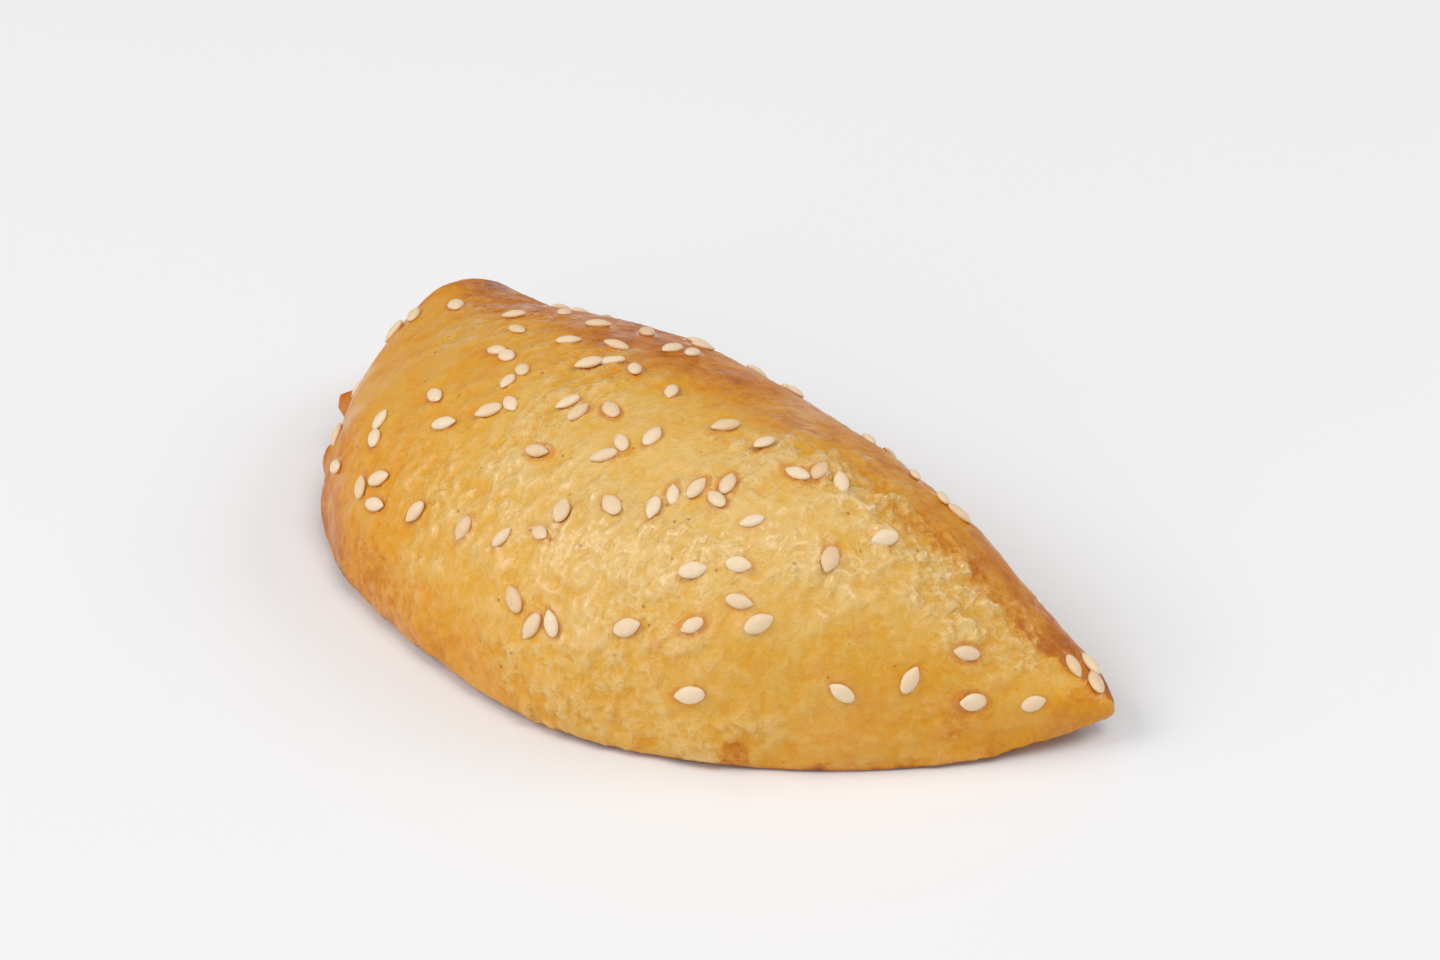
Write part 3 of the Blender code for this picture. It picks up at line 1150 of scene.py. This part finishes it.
    def _browning(self, points: np.ndarray, base: np.ndarray, patchy: np.ndarray) -> np.ndarray:
        """How far each point is browned.

        Args:
            points: The crust's points.
            base: 1 on the points of the flat base.
            patchy: Noise that the zones' edges drift with.

        Returns:
            0 for pale to 1 for toasted, a little beyond in places.
        """
        place, over = self._spread(points)
        height = points[:, 2]
        broad = noise_at(points, *self.broad_patches)
        pools = noise_at(points, *self.pools) * self.pool_height.over(height)
        fleck = noise_at(points, *self.flecks)
        pointed = self.pointed_half.over(place)
        fold_side = self.fold_side.over(over, broad) * (1.0 - pointed)
        fold_side = fold_side + self.fold_side_pointed.over(over, fleck + broad) * pointed
        stronger = [
            self.blunt_end.over(place, patchy),
            self.blunt_nose.over(place, patchy),
            self.pointed_end.over(place, patchy),
            self.pointed_nose.over(place, patchy),
            fold_side * self.fold_side_before_nose.over(place),
            self.rim_side.over(over, patchy),
            self.rim_line.over(over) * self.rim_line_along.over(place),
            # Browned base and painted contact shade along the bottom edge.
            self.foot_and_contact_shade.over(height),
            self.low_pools.over(pools),
            self.base_browning * base,
            self.nib_tips.over(self._nib_rise(points)),
        ]
        browning = 1.0 - np.prod([1.0 - part for part in stronger], axis=0)
        return browning + self.least_browning + self.browning_drift * (broad + patchy)


@dataclass(frozen=True)
class SeedSeat:
    """Where one seed lies on the crust."""

    spot: Vector
    normal: Vector
    turn: float
    size: float

    @property
    def facing(self) -> Matrix:
        """The seed's own axes as columns: along it, across it and out of the crust."""
        return self.normal.to_track_quat("Z", "Y").to_matrix() @ Matrix.Rotation(self.turn, 3, "Z")


@dataclass
class SesameSeeds:
    """The sprinkled seeds, as one mesh."""

    form: HalfMoon = field(default_factory=HalfMoon)
    finish: SeedFinish = field(default_factory=SeedFinish)
    length: float = 2.9 * MM
    width: float = 1.66 * MM
    thickness: float = 0.92 * MM
    taper: float = 0.42
    sink: float = 0.30
    size_spread: float = 0.12
    spacing: float = 5.0 * MM
    neighbour_spacing: float = 2.35 * MM
    neighbour_chance: float = 0.5
    most_together: int = 3
    closest: float = 2.2 * MM
    edge_margin: float = 0.9 * MM
    lowest: float = 2.2 * MM
    tries: int = 1500
    fold_share: float = 0.5
    patch_spacing: float = 12.0 * MM
    patch_slice: float = 203.5
    patch_bare: float = -0.35
    patch_full: float = -0.05
    nose_count: int = 3
    nose_x: float = 46.4 * MM
    random_seed: int = 366
    looks_seed: int = 7
    toast_seed_step: int = 5
    toast_power: float = 2.0
    plumpness: tuple[float, float] = (0.9, 1.1)
    narrowing: Ramp = Ramp(0.0, 1.0)
    segments: int = 20
    rings: int = 12

    def _across(self, x: float, y: float) -> float:
        """How far over the body a plan position lies.

        Args:
            x: Its X.
            y: Its Y.

        Returns:
            0 at the rim's margin to 1 at the fold's, or less than 0 past a tip.
        """
        place = x / (self.form.length / 2.0)
        if abs(place) >= 1.0:
            return -1.0
        rim, fold = (float(edge) for edge in self.form.plan_edges(np.array(place)))
        return (y - self.form.tip_line_y - rim - self.edge_margin) / (fold - rim - 2.0 * self.edge_margin)

    def _nose_places(self) -> list[tuple[float, float]]:
        """The few seeds that ring the pointed tip.

        Returns:
            Their plan positions.
        """
        radius = self.neighbour_spacing / (2.0 * math.sin(math.pi / self.nose_count))
        middle = self.form.tip_line_y + POINTED_TIP.nose_y
        bearings = [math.tau * number / self.nose_count for number in range(self.nose_count)]
        return [(self.nose_x + radius * math.cos(b), middle + radius * math.sin(b)) for b in bearings]

    def _patch_share(self, x: float, y: float) -> float:
        """The share of the seeds kept at a plan position, so that they lie thick in patches."""
        height = noise.noise(Vector((x / self.patch_spacing, y / self.patch_spacing, self.patch_slice)))
        return min(1.0, max(0.0, (height - self.patch_bare) / (self.patch_full - self.patch_bare)))

    def places(self) -> list[tuple[float, float, float, float]]:
        """The seeds' plan positions, turns and sizes, drawn as the solid's are.

        Returns:
            X, Y, turn and size of each seed.
        """
        draw = random.Random(self.random_seed)
        singles: list[tuple[float, float]] = []
        seeds: list[tuple[float, float, float, float]] = []

        def sow(spots: list[tuple[float, float]]) -> None:
            """Keeps each spot that is on the crust and clear of the seeds before it.

            Args:
                spots: Plan positions.
            """
            for x, y in spots:
                turn = draw.uniform(0.0, math.tau)
                size = draw.uniform(1.0 - self.size_spread, 1.0 + self.size_spread)
                clear = all(math.hypot(x - a, y - b) > self.closest for a, b, _, _ in seeds)
                if 0.0 < self._across(x, y) < 1.0 and clear:
                    seeds.append((x, y, turn, size))

        sow(self._nose_places())
        for _ in range(self.tries):
            x = draw.uniform(-self.form.length / 2.0, self.form.length / 2.0)
            y = draw.uniform(-self.form.rim_reach, self.form.fold_reach) + self.form.tip_line_y
            over = self._across(x, y)
            kept = draw.random() < (1.0 + (self.fold_share - 1.0) * over) * self._patch_share(x, y)
            apart = all(math.hypot(x - a, y - b) > self.spacing for a, b in singles)
            if not (kept and apart and 0.0 < over < 1.0):
                continue
            singles.append((x, y))
            spots = [(x, y)]
            while len(spots) < self.most_together and draw.random() < self.neighbour_chance:
                turn = draw.uniform(0.0, math.tau)
                step_x, step_y = math.cos(turn), math.sin(turn)
                spots.append((x + step_x * self.neighbour_spacing, y + step_y * self.neighbour_spacing))
            sow(spots)
        return seeds

    def _drop(self, tree: BVHTree, x: float, y: float) -> tuple[Vector | None, Vector | None]:
        """The crust's point and normal under a plan position, or None twice beside the pastry."""
        above = Vector((x, y, self.form.height * 2.0))
        return tree.ray_cast(above, Vector((0.0, 0.0, -1.0)))[:2]

    def seats(self, crust: bpy.types.Object) -> list[SeedSeat]:
        """Drops each seed from above onto the crust.

        Args:
            crust: The crust, with its skin.

        Returns:
            Where each seed lies.
        """
        tree = BVHTree.FromObject(crust, bpy.context.evaluated_depsgraph_get())
        found = []
        for x, y, turn, size in self.places():
            spot, _ = self._drop(tree, x, y)
            if spot is not None and spot.z >= self.lowest:
                found.append(SeedSeat(spot, self._slope_at(tree, x, y), turn, size))
        return found

    def _slope_at(self, tree: BVHTree, x: float, y: float) -> Vector:
        """The crust's normal under a whole seed, so that a wrinkle doesn't tip it.

        Args:
            tree: The crust, to cast rays on.
            x: The seed's X.
            y: The seed's Y.

        Returns:
            The normal of the plane through three points round the seed's middle.
        """
        reach = self.width / 2.0
        corners = []
        for third in range(3):
            turn = math.tau * third / 3.0
            corner, _ = self._drop(tree, x + reach * math.cos(turn), y + reach * math.sin(turn))
            if corner is None:
                return self._drop(tree, x, y)[1]
            corners.append(corner)
        return (corners[1] - corners[0]).cross(corners[2] - corners[0]).normalized()

    def gaps(self, crust: bpy.types.Object, seats: list[SeedSeat]) -> np.ndarray:
        """How far each point of the crust lies outside the outline of its nearest seed.

        Args:
            crust: The finished crust.
            seats: Where the seeds lie.

        Returns:
            A distance for each point, below 0 under a seed.
        """
        points = read_points(crust.data, "co")
        spots = np.array([seat.spot for seat in seats])
        spans = (points**2).sum(1)[:, None] + (spots**2).sum(1)[None, :] - 2.0 * points @ spots.T
        nearest = spans.argmin(1)
        axes = np.array([seat.facing for seat in seats])[nearest]
        away = points - spots[nearest]
        along = (away * axes[:, :, 0]).sum(1) / (self.length / 2.0)
        side = (away * axes[:, :, 1]).sum(1) / (self.width / 2.0)
        return (np.hypot(along, side) - 1.0) * self.width / 2.0

    def build(self, seats: list[SeedSeat]) -> bpy.types.Object:
        """One teardrop seed in Geometry Nodes, set on every seat and made real.

        Args:
            seats: Where the seeds lie.

        Returns:
            All the seeds as one mesh.
        """
        sizes = {
            "Seed Length": self.length,
            "Seed Width": self.width,
            "Seed Thickness": self.thickness,
            "Taper": self.taper,
            "Segments": self.segments,
            "Rings": self.rings,
            "Random Seed": self.looks_seed,
        }
        recipe = Recipe("sesame_sprinkle", sizes)
        bench = recipe.bench
        size = recipe.size
        steps = {"Segments": size("Segments"), "Rings": size("Rings")}
        ball = bench.add("GeometryNodeMeshUVSphere", inputs={"Radius": 1.0, **steps})
        side, thick, along = bench.split(bench.wire(bench.add("GeometryNodeInputPosition")))
        ahead = bench.ease(along, self.narrowing) * bench.math("MAXIMUM", along, 0.0)
        narrow = 1.0 - size("Taper") * ahead
        teardrop = bench.vector(
            along * size("Seed Length") / 2.0,
            side * narrow * size("Seed Width") / 2.0,
            thick * narrow * size("Seed Thickness") / 2.0,
        )
        # How low each point lies on the seed, for its egg wash and painted shade.
        seated = recipe.store(bench.wire(ball), "seat", (1.0 - thick) / 2.0)
        seed = recipe.place(seated, Position=teardrop)
        scale = recipe.attribute("size", "FLOAT")
        width_scale = scale * recipe.random(*self.plumpness, size("Random Seed"))
        turns = recipe.attribute("facing", "FLOAT_VECTOR")
        facing = bench.add("FunctionNodeEulerToRotation", inputs={0: turns})
        sown = bench.add(
            "GeometryNodeInstanceOnPoints",
            inputs={
                "Points": size("Geometry"),
                "Instance": seed,
                "Rotation": bench.wire(facing),
                "Scale": bench.vector(scale, width_scale, scale),
            },
        )
        toast = recipe.random(0.0, 1.0, size("Random Seed") + self.toast_seed_step) ** self.toast_power
        toasted = recipe.store(bench.wire(sown), "toast", toast, "INSTANCE")
        recipe.close(toasted, self.finish.material())
        seeds = recipe.run(new_object("sesame_seeds", self._seat_mesh(seats)))
        seeds.data.shade_smooth()
        return seeds

    def _seat_mesh(self, seats: list[SeedSeat]) -> bpy.types.Mesh:
        """Loose points at the seeds' middles, with the way each one faces and its size.

        Args:
            seats: Where the seeds lie.

        Returns:
            The points' mesh.
        """
        mesh = bpy.data.meshes.new("sesame_seats")
        spots, turns = [], []
        for seat in seats:
            rise = self.thickness * (0.5 - self.sink) * seat.size
            spots.append(seat.spot + seat.normal * rise)
            turns.extend(seat.facing.to_euler())
        mesh.from_pydata(spots, [], [])
        write_layer(mesh, "facing", "FLOAT_VECTOR", turns)
        write_layer(mesh, "size", "FLOAT", [seat.size for seat in seats])
        return mesh


@dataclass(frozen=True)
class Softbox:
    """One soft studio light."""

    name: str
    azimuth: float
    elevation: float
    distance: float
    side: float
    power: float

    def build(self, aim: Vector) -> bpy.types.Object:
        """Hangs the light and points it at the pastry.

        Args:
            aim: The point that it faces.

        Returns:
            The light.
        """
        lamp = bpy.data.lights.new(self.name, "AREA")
        lamp.shape = "SQUARE"
        lamp.size = self.side
        lamp.energy = self.power
        thing = new_object(self.name, lamp)
        towards = bearing(self.azimuth, self.elevation)
        thing.location = aim + towards * self.distance
        thing.rotation_euler = (-towards).to_track_quat("-Z", "Y").to_euler()
        return thing


def bearing(azimuth: float, elevation: float) -> Vector:
    """The direction from the pastry to something at an azimuth and elevation in degrees."""
    turn, rise = math.radians(azimuth), math.radians(elevation)
    return Vector((math.sin(turn) * math.cos(rise), -math.cos(turn) * math.cos(rise), math.sin(rise)))


@dataclass
class Studio:
    """A plain pale floor, soft light and the camera."""

    floor_side: float = 6.0
    floor_colour: Colour = tone(240, 240, 240)
    floor_roughness: float = 0.6
    sky: Colour = tone(245, 246, 250)
    sky_strength: float = 0.36
    azimuth: float = 50.9
    elevation: float = 33.0
    distance: float = 0.448
    lens: float = 100.0
    nearest: float = 0.01
    aim: Vector = field(default_factory=lambda: Vector((-0.0129, 0.0218, 0.0)))
    lights: tuple[Softbox, ...] = (
        Softbox("overhead_light", 85.0, 64.0, 2.0, 0.9, 12.5),
        Softbox("left_light", -30.0, 42.0, 2.2, 1.2, 20.0),
        Softbox("right_light", 150.0, 38.0, 2.2, 1.0, 10.0),
        Softbox("front_light", 20.0, 26.0, 2.2, 1.6, 9.0),
    )

    def build(self) -> None:
        """Makes the floor, the sky, the lights and the camera."""
        self._floor()
        self._sky()
        for light in self.lights:
            light.build(self.aim)
        self._camera()
        bpy.context.scene.view_settings.view_transform = "Standard"

    def _floor(self) -> None:
        """A wide plane at the height that the pastry rests on."""
        half = self.floor_side / 2.0
        corners = [(-half, -half, 0.0), (half, -half, 0.0), (half, half, 0.0), (-half, half, 0.0)]
        mesh = bpy.data.meshes.new("floor")
        mesh.from_pydata(corners, [], [(0, 1, 2, 3)])
        floor = new_object("floor", mesh)
        made = bpy.data.materials.new("pale_floor")
        made.use_nodes = True
        shader = made.node_tree.nodes["Principled BSDF"]
        shader.inputs["Base Color"].default_value = self.floor_colour
        shader.inputs["Roughness"].default_value = self.floor_roughness
        mesh.materials.append(made)

    def _sky(self) -> None:
        """Even light from all round."""
        world = bpy.data.worlds.new("studio_sky")
        world.use_nodes = True
        backdrop = world.node_tree.nodes["Background"]
        backdrop.inputs["Color"].default_value = self.sky
        backdrop.inputs["Strength"].default_value = self.sky_strength
        bpy.context.scene.world = world

    def _camera(self) -> None:
        """The photograph's own viewpoint."""
        lens = bpy.data.cameras.new("camera")
        lens.lens = self.lens
        lens.clip_start = self.nearest
        camera = new_object("camera", lens)
        back = bearing(self.azimuth, self.elevation)
        camera.location = self.aim + back * self.distance
        camera.rotation_euler = (-back).to_track_quat("-Z", "Y").to_euler()
        bpy.context.scene.camera = camera


def settle(piece: bpy.types.Object) -> None:
    """Gives a piece its body, hides the solid that it stands for, and reports it.

    Args:
        piece: The finished piece.
    """
    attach(piece, BODY)
    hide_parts(SOLID)
    piece.data.calc_loop_triangles()
    LOG.info("%s: %d triangles", piece.name, len(piece.data.loop_triangles))


def main() -> None:
    """Builds the pastry and the studio round it."""
    logging.basicConfig(level=logging.INFO, format="%(name)s: %(message)s")
    crust_maker, seed_maker = Crust(), SesameSeeds()
    crust = crust_maker.build()
    seats = seed_maker.seats(crust)
    crust_maker.brown(crust, seed_maker.gaps(crust, seats))
    settle(crust)
    settle(seed_maker.build(seats))
    Studio().build()


if __name__ == "__main__":
    main()
